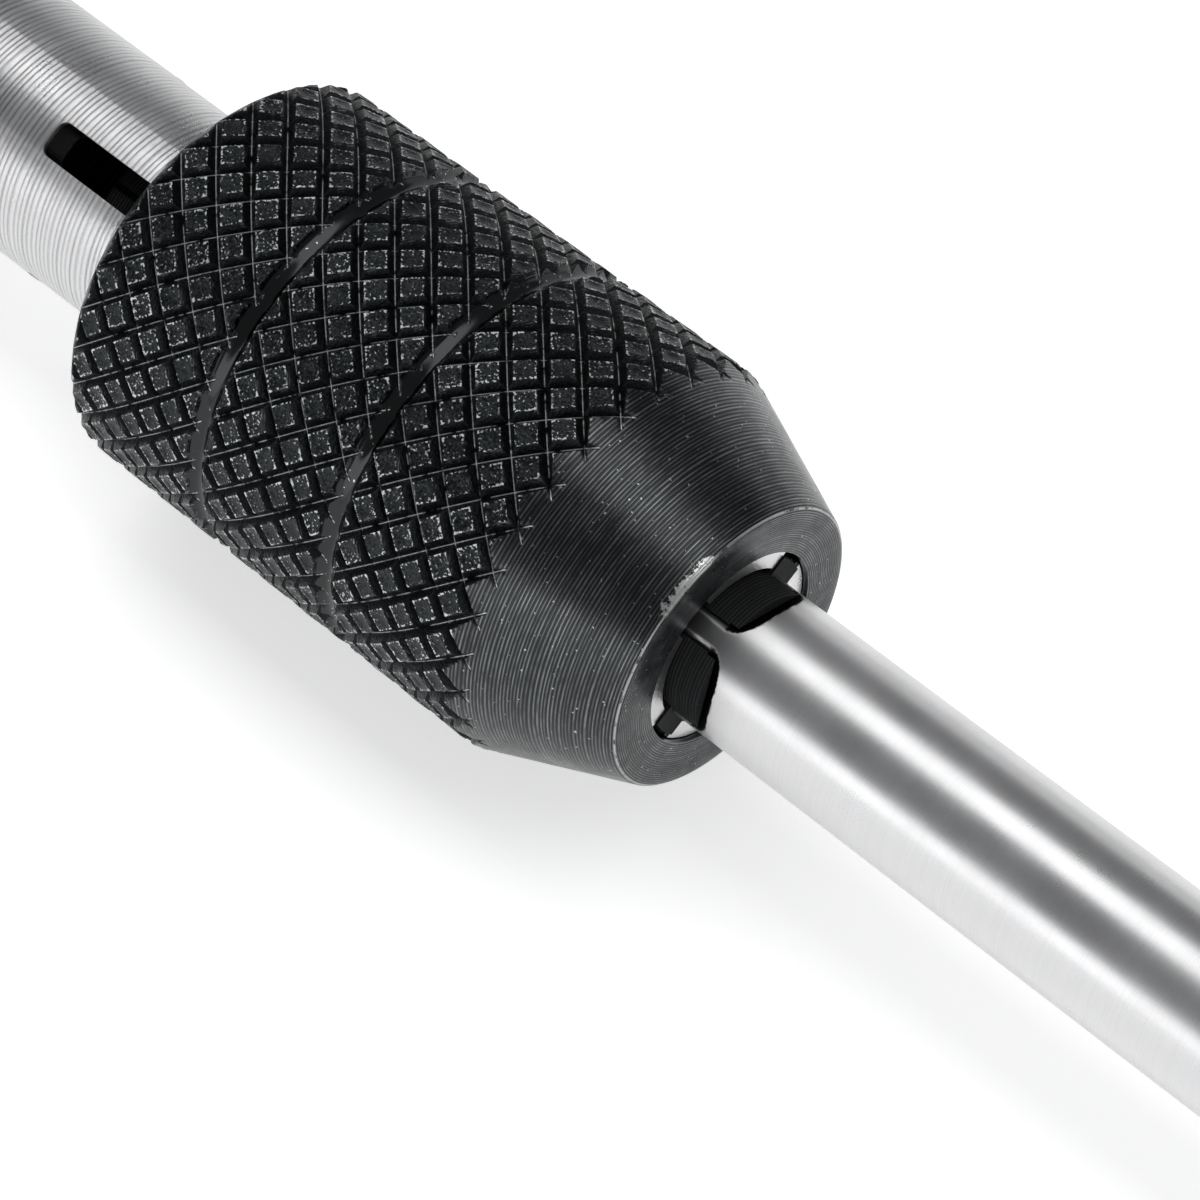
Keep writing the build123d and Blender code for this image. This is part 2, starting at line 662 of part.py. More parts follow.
with BuildPart() as bar_plunger_ball:
    with Locations(station(BALL_S)):
        Sphere(PLUNGER_BALL_R)
bar_plunger_ball.part.label = "bar_plunger_ball"
export_step(bar_plunger_ball.part, "parts/bar_plunger_ball.step")

spring_seat = PLUNGER_FRONT - PLUNGER_BORE_L + SPRING_PLAY
spring_length = BALL_S - PLUNGER_BALL_R - SPRING_PLAY - spring_seat
bar_plunger_spring = build_coil(station(spring_seat), spring_length, 1.3, 0.2, 5)
bar_plunger_spring.label = "bar_plunger_spring"
export_step(bar_plunger_spring, "parts/bar_plunger_spring.step")
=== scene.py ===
import math

import bpy
import numpy as np
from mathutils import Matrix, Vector


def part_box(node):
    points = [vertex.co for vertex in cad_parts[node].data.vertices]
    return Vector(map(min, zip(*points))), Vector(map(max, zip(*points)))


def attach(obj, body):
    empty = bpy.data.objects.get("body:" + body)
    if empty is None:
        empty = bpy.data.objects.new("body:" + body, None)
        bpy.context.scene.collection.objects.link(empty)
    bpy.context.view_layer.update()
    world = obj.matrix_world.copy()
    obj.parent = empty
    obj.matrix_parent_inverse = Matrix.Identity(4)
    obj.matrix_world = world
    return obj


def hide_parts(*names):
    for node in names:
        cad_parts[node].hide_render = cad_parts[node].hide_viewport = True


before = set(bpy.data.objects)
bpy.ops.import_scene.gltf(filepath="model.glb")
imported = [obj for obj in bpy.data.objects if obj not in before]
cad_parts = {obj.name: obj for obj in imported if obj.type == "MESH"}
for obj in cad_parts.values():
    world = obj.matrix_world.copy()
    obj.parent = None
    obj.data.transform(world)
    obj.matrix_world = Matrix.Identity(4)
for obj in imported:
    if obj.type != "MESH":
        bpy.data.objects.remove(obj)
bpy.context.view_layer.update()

# T-handle tap wrench. Lengths called s and r are in mm: s along the main axis from the sleeve's nose face,
# towards the tap, and r outwards from that axis. Blender's own values are in metres.
MM = 0.001
TURN = 2 * math.pi
sleeve_low, sleeve_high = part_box("chuck_sleeve")
NOSE_X = sleeve_high.x
AXIS_Z = (sleeve_low.z + sleeve_high.z) / 2
SLEEVE_R = (sleeve_high.z - sleeve_low.z) / 2 / MM


def span(node):
    """First and last station of a CAD node."""
    low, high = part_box(node)
    return (low.x - NOSE_X) / MM, (high.x - NOSE_X) / MM


SLEEVE_REAR = span("chuck_sleeve")[0]
COLLAR_REAR, COLLAR_FRONT = span("selector_collar")
SHANK_REAR, TAP_TIP = span("tap")

# ---- camera and light ----
CAMERA_AZIMUTH = math.radians(44.49)
CAMERA_ELEVATION = math.radians(50.78)
CAMERA_DISTANCE = 184.77
CAMERA_SIDE = -5.42       # shift of the view's middle from the nose, to the camera's right
CAMERA_RISE = 2.02        # and upwards
CAMERA_SENSOR = 36        # mm
CAMERA_LENS = 133.8       # mm
SOFTBOX_ALONG = -0.35     # m, from the nose to the lights' middle
SOFTBOX_RADIANCE = 1.7
BACKDROP_RADIANCE = 0.62
WORLD_COLOR = (0.185, 0.187, 0.191, 1)

nose = Vector((NOSE_X, 0, AXIS_Z))
right = Vector((math.cos(CAMERA_AZIMUTH), math.sin(CAMERA_AZIMUTH), 0))
back = Vector((
    math.sin(CAMERA_AZIMUTH) * math.cos(CAMERA_ELEVATION),
    -math.cos(CAMERA_AZIMUTH) * math.cos(CAMERA_ELEVATION),
    math.sin(CAMERA_ELEVATION),
))
above = back.cross(right)
camera_data = bpy.data.cameras.new("camera")
camera_data.sensor_width = CAMERA_SENSOR
camera_data.lens = CAMERA_LENS
camera_data.clip_start = 0.01
camera = bpy.data.objects.new("camera", camera_data)
camera.location = nose + (back * CAMERA_DISTANCE + right * CAMERA_SIDE + above * CAMERA_RISE) * MM
camera.rotation_mode = "QUATERNION"
camera.rotation_quaternion = (-back).to_track_quat("-Z", "Y")
bpy.context.scene.collection.objects.link(camera)
bpy.context.scene.camera = camera
bpy.context.scene.view_settings.view_transform = "Standard"


def softbox(name, height_angle, distance, width, length, radiance):
    """Rectangular light along the main axis. Its height angle is measured from +Y over the top."""
    turn = math.radians(height_angle)
    data = bpy.data.lights.new(name, "AREA")
    data.shape = "RECTANGLE"
    data.size = length
    data.size_y = width
    data.energy = math.pi * width * length * radiance
    lamp = bpy.data.objects.new(name, data)
    out = Vector((0, math.cos(turn), math.sin(turn)))
    lamp.location = nose + out * distance + Vector((SOFTBOX_ALONG, 0, 0))
    lamp.rotation_mode = "QUATERNION"
    lamp.rotation_quaternion = out.to_track_quat("Z", "Y")
    bpy.context.scene.collection.objects.link(lamp)


softbox("softbox_far", 83, distance=0.7, width=0.36, length=2.0, radiance=SOFTBOX_RADIANCE)
softbox("softbox_near", 167, distance=0.7, width=0.27, length=2.0, radiance=SOFTBOX_RADIANCE)
softbox("backdrop", 12, distance=1.2, width=0.38, length=2.4, radiance=BACKDROP_RADIANCE)
world = bpy.data.worlds.new("studio")
bpy.context.scene.world = world
world.use_nodes = True
world.node_tree.nodes["Background"].inputs["Color"].default_value = WORLD_COLOR
world.node_tree.nodes["Background"].inputs["Strength"].default_value = 1.0


# ---- meshes turned round the main axis ----
SHARP_ANGLE = math.radians(28)    # faces that meet at a wider angle keep a sharp edge
FLIP_MARGIN = 1e-9                # equally good diagonals aren't crossed


def block(stations, columns, radius):
    """Rings at the given stations. radius(turn, s) gives the surface, or one number for each station."""
    stations = np.asarray(stations, float)
    turns = np.arange(columns) * TURN / columns
    if callable(radius):
        rings = radius(turns[None, :], stations[:, None])
        middles = (stations[1:, None] + stations[:-1, None]) / 2
        between = radius(turns[None, :] + TURN / columns / 2, middles)
    else:
        rings = np.repeat(np.asarray(radius, float)[:, None], columns, 1)
        between = (rings[1:] + rings[:-1]) / 2
    return {"s": stations, "r": rings, "between": between, "columns": columns}


def profile(points, columns):
    """Plain rings from (s, r) points."""
    return block([p[0] for p in points], columns, [p[1] for p in points])


def bridge(a, b):
    """Triangles between two rings of vertex numbers, one of which may be several times finer."""
    if len(a) == len(b):
        a_next, b_next = np.roll(a, -1), np.roll(b, -1)
        return np.concatenate([np.stack([a, b, a_next], 1), np.stack([a_next, b, b_next], 1)])
    fine, coarse = (a, b) if len(a) > len(b) else (b, a)
    ratio = len(fine) // len(coarse)
    number = np.arange(len(fine))
    apex = coarse[(number // ratio + (number % ratio >= ratio // 2)) % len(coarse)]
    fans = np.stack([fine, apex, np.roll(fine, -1)], 1)
    middle = fine[np.arange(len(coarse)) * ratio + ratio // 2]
    caps = np.stack([middle, coarse, np.roll(coarse, -1)], 1)
    faces = np.concatenate([fans, caps])
    return faces if len(a) > len(b) else faces[:, ::-1]


def skin(rings, flip):
    """Triangles over a grid of vertex numbers. A cell marked in flip is cut along its other diagonal."""
    a, b = rings[:-1], rings[1:]
    a_next, b_next = np.roll(a, -1, 1), np.roll(b, -1, 1)
    straight = np.stack([np.stack([a, b, b_next], -1), np.stack([a, b_next, a_next], -1)], 2)
    crossed = np.stack([np.stack([a, b, a_next], -1), np.stack([a_next, b, b_next], -1)], 2)
    return np.where(flip[..., None, None], crossed, straight).reshape(-1, 3)


def turned_mesh(name, blocks, closed=True, knurl=None):
    """Mesh of rings round the main axis. An open one is closed to a point on the axis at both ends."""
    points, turns, stations, faces = [], [], [], []
    count = 0
    first_ring = last_ring = None
    for part in blocks:
        rows, columns = part["r"].shape
        angle = np.arange(columns) * TURN / columns
        r = part["r"] * MM
        x = np.repeat((NOSE_X + part["s"] * MM)[:, None], columns, 1)
        points.append(np.stack([x, r * np.cos(angle), AXIS_Z + r * np.sin(angle)], -1).reshape(-1, 3))
        turns.append(np.tile(angle, rows))
        stations.append(np.repeat(part["s"], columns))
        numbers = count + np.arange(rows * columns).reshape(rows, columns)
        count += rows * columns
        if rows > 1:
            value = part["r"]
            one = (value[:-1] + np.roll(value[1:], -1, 1)) / 2
            two = (value[1:] + np.roll(value[:-1], -1, 1)) / 2
            # the diagonal that lies nearer to the real surface
            flip = np.abs(two - part["between"]) < np.abs(one - part["between"]) - FLIP_MARGIN
            faces.append(skin(numbers, flip))
        if last_ring is not None:
            faces.append(bridge(last_ring, numbers[0]))
        else:
            first_ring = numbers[0]
        last_ring = numbers[-1]
    if closed:
        faces.append(bridge(last_ring, first_ring))
    else:
        for ring, at, order in ((first_ring, stations[0][0], 1), (last_ring, stations[-1][-1], -1)):
            points.append(np.array([[NOSE_X + at * MM, 0, AXIS_Z]]))
            turns.append(np.array([np.nan]))
            stations.append(np.array([at]))
            fan = np.stack([np.full(len(ring), count), ring, np.roll(ring, -1)], 1)
            faces.append(fan[:, ::order])
            count += 1
    points = np.concatenate(points)
    turns = np.concatenate(turns)
    stations = np.concatenate(stations)
    faces = np.concatenate(faces)
    corners = points[faces]
    volume = np.einsum("ij,ij->i", corners[:, 0], np.cross(corners[:, 1], corners[:, 2])).sum()
    if volume < 0:
        faces = faces[:, ::-1]
    mesh = bpy.data.meshes.new(name)
    mesh.from_pydata(points.tolist(), [], faces.tolist())
    mesh.polygons.foreach_set("use_smooth", np.ones(len(faces), bool))
    mesh.set_sharp_from_angle(angle=SHARP_ANGLE)
    if knurl:
        # both knurl counts of each corner, carried on past the seam
        corner_turn = np.nan_to_num(turns[faces])
        wraps = (corner_turn.max(1) - corner_turn.min(1) > math.pi)[:, None] & (corner_turn < math.pi)
        around = (corner_turn + wraps * TURN) / TURN * knurl["starts"]
        along = (stations[faces] - knurl["phase"]) / knurl["lead"]
        layer = mesh.uv_layers.new(name="knurl")
        counts = np.stack([around + along, around - along], -1)
        layer.data.foreach_set("uv", counts.ravel().astype(np.float32))
    return mesh


def add_piece(name, mesh, body, slot, material, *nodes):
    piece = bpy.data.objects.new(name, mesh)
    bpy.context.scene.collection.objects.link(piece)
    mesh.materials.append(material)
    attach(piece, body)
    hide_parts(*nodes)
    return piece


# ---- knurling ----
KNURL_STEPS = 16          # grid cells for each knurl pitch
KNURL_VALLEY = 3 / 16     # half width of a valley, as a share of the pitch
KNURL_DEPTH = 0.42
KNURL_RIM = 1 / 16        # width of a pad's flat rim, as a share of the pitch
KNURL_DISH = 0.055        # how far the middle of a pad lies below its rim
KNURL_DISH_WIDTH = 0.16   # width of the slope down to it, as a share of the pitch
KNURL_UNEVEN = 0.012      # rise and fall of the pads
KNURL_TAN = 1.0           # tangent of the knurl lines' angle to the axis


def knurl_of(radius, starts, phase):
    """Knurl counts for a cylinder: starts each way, and the length of one pitch along the axis."""
    return {"starts": starts, "lead": TURN * radius / starts / KNURL_TAN, "phase": phase, "radius": radius}


def knurl_surface(knurl, turn, s):
    """Radius of the knurled surface: flat pads between two families of V-shaped valleys."""
    around = turn / TURN * knurl["starts"]
    along = (s - knurl["phase"]) / knurl["lead"]
    valley_a = np.abs(around + along - np.round(around + along))
    valley_b = np.abs(around - along - np.round(around - along))
    nearest = np.minimum(valley_a, valley_b)
    wall = np.clip(1 - nearest / KNURL_VALLEY, 0, 1) * KNURL_DEPTH
    share = np.clip((nearest - KNURL_VALLEY - KNURL_RIM) / KNURL_DISH_WIDTH, 0, 1)
    dish = KNURL_DISH * share * share * (3 - 2 * share)
    uneven = KNURL_UNEVEN * (np.sin(23 * turn + 1.9 * s) + np.sin(17 * turn - 2.7 * s + 1.3))
    return knurl["radius"] - 2 * KNURL_UNEVEN - wall - dish + uneven * (nearest > KNURL_VALLEY)


GROOVE_STATIONS = (-22.3, -14.3)
GROOVE_SECTION_R = 0.55
GROOVE_CENTRE_R = SLEEVE_R + 0.05
GROOVE_ROWS_HALF = 0.7    # half length of the stretch with finer rings
CONE_START = -7.0
CONE_END = -0.25
KNURL_ROWS_END = -5.6     # fine rings reach to here on the cone
KNURL_RUNOUT = 1.6        # the knurl has run out on the cone after this length
NOSE_R = 6.91
CONE_END_R = NOSE_R + 0.1
NOSE_EDGE = -0.05         # station of the rounded edge's middle
NOSE_HOLE_R = 4.69
NOSE_LIP = -1.2
THREAD_R = 6.43
CONE_HALF = math.radians(12.5)
REAR_CHAMFER = 0.5
GUIDE_GROOVE = (SLEEVE_REAR + 0.95, SLEEVE_REAR + 2.55, 6.95)
SLEEVE_STARTS = 28
INNER_COLUMNS = 112


def cone_radius(s):
    return SLEEVE_R - (s - CONE_START) * (SLEEVE_R - CONE_END_R) / (CONE_END - CONE_START)


sleeve_knurl = knurl_of(SLEEVE_R, SLEEVE_STARTS, SLEEVE_REAR)


def sleeve_surface(turn, s):
    radius = knurl_surface(sleeve_knurl, turn, s)
    for groove in GROOVE_STATIONS:
        inside = np.clip(GROOVE_SECTION_R**2 - (s - groove) ** 2, 0, None)
        groove_r = np.where(np.abs(s - groove) < GROOVE_SECTION_R, GROOVE_CENTRE_R - np.sqrt(inside), 99)
        radius = np.minimum(radius, groove_r)
    radius = np.minimum(radius, cone_radius(s))
    return np.minimum(radius, SLEEVE_R - REAR_CHAMFER + (s - SLEEVE_REAR))


def knurl_stations(knurl, start, end):
    step = knurl["lead"] / KNURL_STEPS
    return start + step * np.arange(math.ceil((end - start) / step))


def with_groove_rows(stations):
    """Twice as many rings through each plain groove."""
    middles = (stations[:-1] + stations[1:]) / 2
    extra = [s for groove in GROOVE_STATIONS for s in middles if abs(s - groove) < GROOVE_ROWS_HALF]
    return np.sort(np.concatenate([stations, extra]))


def build_sleeve():
    columns = SLEEVE_STARTS * KNURL_STEPS
    cone_big = NOSE_LIP - (THREAD_R - NOSE_HOLE_R) / math.tan(CONE_HALF)
    knurl_rows = with_groove_rows(knurl_stations(sleeve_knurl, SLEEVE_REAR, KNURL_ROWS_END))
    cone_rows = np.linspace(KNURL_ROWS_END, CONE_END, 9)
    groove_rear, groove_front, groove_r = GUIDE_GROOVE
    return turned_mesh("knurled_sleeve", [
        block(knurl_rows, columns, sleeve_surface),
        profile([(s, float(cone_radius(s))) for s in cone_rows], columns),
        profile([(-0.16, NOSE_R + 0.06), (NOSE_EDGE, NOSE_R - 0.06), (0, NOSE_R - 0.17)], columns),
        profile(
            [
                (0, NOSE_R - 0.4),
                (0, NOSE_HOLE_R + 0.12),
                (-0.03, NOSE_HOLE_R + 0.04),
                (-0.12, NOSE_HOLE_R),
                (NOSE_LIP, NOSE_HOLE_R),
                (cone_big, THREAD_R),
                (groove_front, THREAD_R),
                (groove_front, groove_r),
                (groove_rear, groove_r),
                (groove_rear, THREAD_R),
                (SLEEVE_REAR, THREAD_R),
                (SLEEVE_REAR, SLEEVE_R - 1.2),
            ],
            INNER_COLUMNS,
        ),
    ], knurl=sleeve_knurl)


# ---- selector collar ----
COLLAR_BORE_R = 8.35
COLLAR_FLANGE = -57.9
COLLAR_HOLE_R = 5.05
COLLAR_BAND = 1.7         # plain band at each end
COLLAR_BAND_R = SLEEVE_R - 0.5
CAM_R = 6.469
CAM_SHIFT = 1.183
CAM_END = -60.7
collar_knurl = knurl_of(SLEEVE_R, SLEEVE_STARTS, COLLAR_REAR)


def collar_surface(turn, s):
    radius = knurl_surface(collar_knurl, turn, s)
    edge = np.minimum(s - COLLAR_REAR, COLLAR_FRONT - s)
    band = COLLAR_BAND_R + np.clip(edge - COLLAR_BAND, 0, None)
    return np.minimum(radius, band)


def cam_surface(turn, s):
    """Eccentric cam behind the collar's flange."""
    return CAM_SHIFT * np.cos(turn) + np.sqrt(CAM_R**2 - (CAM_SHIFT * np.sin(turn)) ** 2) + 0 * s


def build_collar():
    columns = SLEEVE_STARTS * KNURL_STEPS
    rear, front = COLLAR_REAR + COLLAR_BAND - 0.1, COLLAR_FRONT - COLLAR_BAND + 0.15
    return turned_mesh("knurled_collar", [
        profile([(COLLAR_REAR, COLLAR_BAND_R - 0.3), (COLLAR_REAR + 0.3, COLLAR_BAND_R)], INNER_COLUMNS),
        block(knurl_stations(collar_knurl, rear, front), columns, collar_surface),
        profile(
            [
                (COLLAR_FRONT - 0.9, COLLAR_BAND_R),
                (COLLAR_FRONT, COLLAR_BAND_R - 0.9),
                (COLLAR_FRONT, COLLAR_HOLE_R),
                (CAM_END, COLLAR_HOLE_R),
            ],
            INNER_COLUMNS,
        ),
        block([CAM_END, COLLAR_FLANGE], INNER_COLUMNS, cam_surface),
        profile([(COLLAR_FLANGE, COLLAR_BORE_R), (COLLAR_REAR, COLLAR_BORE_R)], INNER_COLUMNS),
    ], knurl=collar_knurl)


# ---- tap ----
tap_low, tap_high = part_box("tap")
SHANK_R = (tap_high.y - tap_low.y) / 2 / MM
SQUARE_HALF = 2.8
SQUARE_END = 0.9
RUNOUT_R = 1.2            # cutter radius at the flats' ends
SQUARE_TURN = math.radians(75)    # direction that one flat faces
THREAD_START = 41.0
THREAD_PITCH = 1.0
THREAD_DEPTH = 0.57
THREAD_CREST = 0.14       # flat crest, and the flank below it, as shares of half a pitch
THREAD_FLANK = 0.74
THREAD_FADE = (0.6, 1.0)  # the thread's depth starts this far in, and is full after this length
TAP_R = 3.5
TAPER_LENGTH = 5.5
TIP_R = 2.85
FLUTE_R = 1.4
FLUTE_OFFSET = 3.75
TAP_COLUMNS = 256
SQUARE_CHAMFER = 0.3
TIP_CHAMFER = 0.35
RUNOUT_STEP = 0.05        # distances between rings
FLUTE_STEP = 0.12
THREAD_STEP = 0.078


def tap_surface(turn, s):
    """Shank, square, helical thread and four flutes."""
    turn, s = np.broadcast_arrays(turn, s)
    flat = np.maximum(np.abs(np.cos(turn - SQUARE_TURN)), np.abs(np.sin(turn - SQUARE_TURN)))
    rise = np.clip(s - SQUARE_END, 0, RUNOUT_R)
    half = SQUARE_HALF + RUNOUT_R - np.sqrt(RUNOUT_R**2 - rise**2)
    radius = np.minimum(SHANK_R, half / flat)
    lead_in = np.clip((s - THREAD_START - THREAD_FADE[0]) / THREAD_FADE[1], 0, 1)
    wave = np.abs(((s / THREAD_PITCH - turn / TURN) % 1) * 2 - 1)
    tooth = np.clip((wave - THREAD_CREST) / THREAD_FLANK, 0, 1)
    thread = TAP_R - THREAD_DEPTH * tooth * lead_in
    envelope = np.minimum(TAP_R, TIP_R + (TAP_TIP - s) * (TAP_R - TIP_R) / TAPER_LENGTH)
    radius = np.where(s > THREAD_START, np.minimum(thread, envelope), radius)
    for flute in range(4):
        offset = turn - (flute + 0.5) * TURN / 4
        room = FLUTE_R**2 - (FLUTE_OFFSET * np.sin(offset)) ** 2 - np.clip(THREAD_START - s, 0, None) ** 2
        near = FLUTE_OFFSET * np.cos(offset) - np.sqrt(np.clip(room, 0, None))
        radius = np.where((room > 0) & (np.cos(offset) > 0), np.minimum(radius, near), radius)
    return radius


def build_tap():
    square = np.array([SHANK_REAR + SQUARE_CHAMFER, -2.0, SQUARE_END - 0.1])
    runout = np.arange(SQUARE_END, SQUARE_END + RUNOUT_R, RUNOUT_STEP)
    shank = np.array([8.0, THREAD_START - FLUTE_R - 0.2])
    flute_start = np.arange(THREAD_START - FLUTE_R, THREAD_START, FLUTE_STEP)
    threaded = np.arange(THREAD_START + 0.001, TAP_TIP - TIP_CHAMFER, THREAD_STEP)
    return turned_mesh("cutting_tap", [
        profile([(SHANK_REAR, SQUARE_HALF - SQUARE_CHAMFER)], TAP_COLUMNS),
        block(np.concatenate([square, runout, shank, flute_start, threaded]), TAP_COLUMNS, tap_surface),
        block([TAP_TIP], TAP_COLUMNS, lambda turn, s: tap_surface(turn, s) - TIP_CHAMFER),
    ], closed=False)


# ---- materials ----
class Shader:
    """A Principled material; plain values are set on its sockets, and varying ones are linked."""

    def __init__(self, name, color, metallic, roughness, **more):
        self.material = bpy.data.materials.new(name)
        self.material.use_nodes = True
        self.tree = self.material.node_tree
        self.surface = self.tree.nodes["Principled BSDF"]
        self.put("Base Color", color)
        self.put("Metallic", metallic)
        self.put("Roughness", roughness)
        for socket, value in more.items():
            self.put(socket.replace("_", " "), value)
        self.coordinates = self.tree.nodes.new("ShaderNodeTexCoord").outputs["Object"]

    def put(self, socket, value):
        target = self.surface.inputs[socket]
        if isinstance(value, bpy.types.NodeSocket):
            self.tree.links.new(value, target)
        elif isinstance(value, tuple):
            target.default_value = (*value, 1)
        else:
            target.default_value = value

    def node(self, kind, inputs, output=0, **settings):
        made = self.tree.nodes.new(kind)
        for key, value in settings.items():
            setattr(made, key, value)
        for key, value in inputs.items():
            if isinstance(value, bpy.types.NodeSocket):
                self.tree.links.new(value, made.inputs[key])
            else:
                made.inputs[key].default_value = value
        return made.outputs[output]

    def math(self, operation, a, b=0.0):
        return self.node("ShaderNodeMath", {0: a, 1: b}, operation=operation)

    def times(self, value, *factors):
        for factor in factors:
            value = self.math("MULTIPLY", value, factor)
        return value

    def plus(self, value, *others):
        for other in others:
            value = self.math("ADD", value, other)
        return value

    def vector(self, operation, a, b=None, output=0):
        inputs = {0: a} if b is None else {0: a, 1: b}
        return self.node("ShaderNodeVectorMath", inputs, output, operation=operation)

    def attribute(self, name):
        return self.node("ShaderNodeAttribute", {}, output=2, attribute_name=name)

    def noise(self, scale, detail=3.0, stretch=(1, 1, 1), rough=0.6):
        """Noise in the piece's own coordinates, with features of about 1/scale metres."""
        stretched = self.vector("MULTIPLY", self.coordinates, stretch)
        inputs = {"Vector": stretched, "Scale": scale, "Detail": detail, "Roughness": rough}
        return self.node("ShaderNodeTexNoise", inputs)

    def ramp(self, value, low, high, to_low=0.0, to_high=1.0, smooth=True):
        return self.node(
            "ShaderNodeMapRange",
            {"Value": value, "From Min": low, "From Max": high, "To Min": to_low, "To Max": to_high},
            interpolation_type="SMOOTHSTEP" if smooth else "LINEAR",
        )

    def mix(self, factor, low, high):
        color = self.tree.nodes.new("ShaderNodeMix")
        color.data_type = "RGBA"
        self.tree.links.new(factor, color.inputs["Factor"])
        for key, value in ((6, low), (7, high)):
            if isinstance(value, bpy.types.NodeSocket):
                self.tree.links.new(value, color.inputs[key])
            else:
                color.inputs[key].default_value = (*value, 1)
        return color.outputs[2]

    def parts(self, vector):
        split = self.tree.nodes.new("ShaderNodeSeparateXYZ")
        self.tree.links.new(vector, split.inputs[0])
        return split.outputs

    def along(self, axis):
        return self.parts(self.coordinates)[axis]

    def from_axis(self):
        """Vector outwards from the main axis, and its length."""
        moved = self.vector("ADD", self.coordinates, (0, 0, -AXIS_Z))
        across = self.vector("MULTIPLY", moved, (0, 1, 1))
        return across, self.vector("LENGTH", across, output=1)

    def rings(self, phase, drift):
        """Relief and tone of turned rings: each count of phase is one ring with a strength of its own."""
        phase = self.plus(phase, self.times(drift, 1.6))
        number = self.math("FLOOR", phase)
        strength = self.node("ShaderNodeTexWhiteNoise", {"W": number}, noise_dimensions="1D")
        wave = self.math("PINGPONG", phase, 0.5)
        crest = self.ramp(wave, 0.18, 0.44)
        return crest, self.times(crest, self.ramp(strength, 0.0, 1.0, 0.45, 1.0, smooth=False))

    def bump(self, height, depth, below=None):
        """Relief of that depth in metres, on top of an earlier one."""
        inputs = {"Height": height, "Distance": depth, "Strength": 1.0}
        if below is not None:
            inputs["Normal"] = below
        return self.node("ShaderNodeBump", inputs)


def stretch_for(axis, drift=0.03):
    """Noise stretch that draws rings round an axis: fine along it, nearly even around."""
    stretch = [drift, drift, drift]
    stretch["XYZ".index(axis)] = 1.0
    return tuple(stretch)


RINGS_ALONG = 2.8         # turned rings for each mm along the axis
RINGS_OUT = 9.2           # and for each mm outwards
RUBBED_TURN = math.radians(113)   # where the nose's edge is rubbed bare
RUBBED_WIDTH = 0.9        # how far the bare patch reaches from the nose's edge
BRIGHT = ((0.67, 0.67, 0.675), (0.36, 0.365, 0.375))    # metal, and its turned lines
BLACK = ((0.05, 0.053, 0.055), (0.13, 0.137, 0.142))
JAW_BLACK = ((0.014, 0.0145, 0.015), (0.05, 0.052, 0.054))
CONE_BLACK = ((0.030, 0.032, 0.033), (0.200, 0.210, 0.216))
PAD_BLACK = ((0.013, 0.015, 0.016), (0.040, 0.044, 0.046))    # between and on the grains
VALLEY_BLACK = (0.020, 0.022, 0.023)
GROOVE_BLACK = (0.040, 0.042, 0.043)
# painted shade for the slots and bore, and the depth over which it fades in
SLOT_PAINTED_SHADE = (0.05, 0.052, 0.054)
SLOT_SHADE_FADE = 0.25          # the slots turn dark over this depth
# painted dark reflection for the tap's curved run-outs
RUNOUT_PAINTED_DARK = (0.05, 0.05, 0.052)
SPECK = (0.40, 0.41, 0.41)
# worn bare steel, also the colour of the painted glint lines in the valleys
WORN_AND_GLINT = (0.62, 0.64, 0.65)
BARE = (0.70, 0.70, 0.69)


def turned_metal(name, colors, axis, pitch, depth, roughness, contrast=1.0, metallic=1.0, shade_core=None):
    """Machined metal with the rings of a turning tool; painted shade inside the given radius, if one is
    given, and a painted dark reflection where the tap's run-outs are marked.
    """
    color, line_color = colors
    rough_low, rough_high = roughness
    shader = Shader(name, color, metallic, rough_low, Specular_IOR_Level=0.02 + 0.48 * metallic)
    drift = shader.noise(0.25 / (pitch * MM), 2.0, stretch_for(axis))
    phase = shader.times(shader.along(axis), 1 / (pitch * MM))
    height, ring = shader.rings(phase, drift)
    fine = shader.noise(24000.0, 3.0, stretch_for(axis, 0.25))
    patches = shader.noise(260.0, 4.0)
    tone = shader.times(ring, shader.ramp(fine, 0.3, 0.6, 0.5, 1.0), contrast)
    base = shader.mix(tone, color, line_color)
    # painted dark reflection on the tap's curved run-outs, where that attribute is set
    base = shader.mix(shader.attribute("milled"), base, RUNOUT_PAINTED_DARK)
    if shade_core:
        # painted shade: the slots and the bore behind the nose are painted dark, in place of the shade
        # inside them
        radius = shader.from_axis()[1]
        slot_shade = shader.times(
            shader.ramp(radius, shade_core * MM, (shade_core - SLOT_SHADE_FADE) * MM),
            shader.ramp(shader.along("X"), NOSE_X - 2 * MM, NOSE_X - 4 * MM),
        )
        base = shader.mix(slot_shade, base, SLOT_PAINTED_SHADE)
    shader.put("Base Color", base)
    shader.put("Roughness", shader.ramp(patches, 0.3, 0.7, rough_low, rough_high))
    relief = shader.bump(fine, depth * 0.8 * MM)
    shader.put("Normal", shader.bump(height, depth * MM, relief))
    return shader.material


def knurl_wear_and_glints(shader, knurled, nears, grains, patches, broken):
    """Worn bright specks, mostly at the rims and corners of the pads, and painted highlight lines at the
    bottoms of the valleys, standing in for their glints.
    """
    nearest = shader.math("MINIMUM", *nears)
    pad = shader.ramp(nearest, KNURL_VALLEY - 0.015, KNURL_VALLEY + 0.005)
    rim = shader.ramp(nearest, KNURL_VALLEY + 0.085, KNURL_VALLEY + 0.02)
    corner = shader.times(*[shader.ramp(near, KNURL_VALLEY + 0.14, KNURL_VALLEY + 0.04) for near in nears])
    likely = shader.plus(shader.times(rim, 0.13), shader.times(corner, 0.07), grains)
    likely = shader.plus(likely, shader.times(patches, 0.36))
    specks = shader.times(pad, knurled, shader.ramp(likely, 0.84, 0.92))
    # painted highlight: thin glint lines at the bottoms of the valleys
    root_glints = shader.times(shader.ramp(nearest, 0.022, 0.006), knurled, broken)
    return shader.math("MAXIMUM", specks, root_glints)


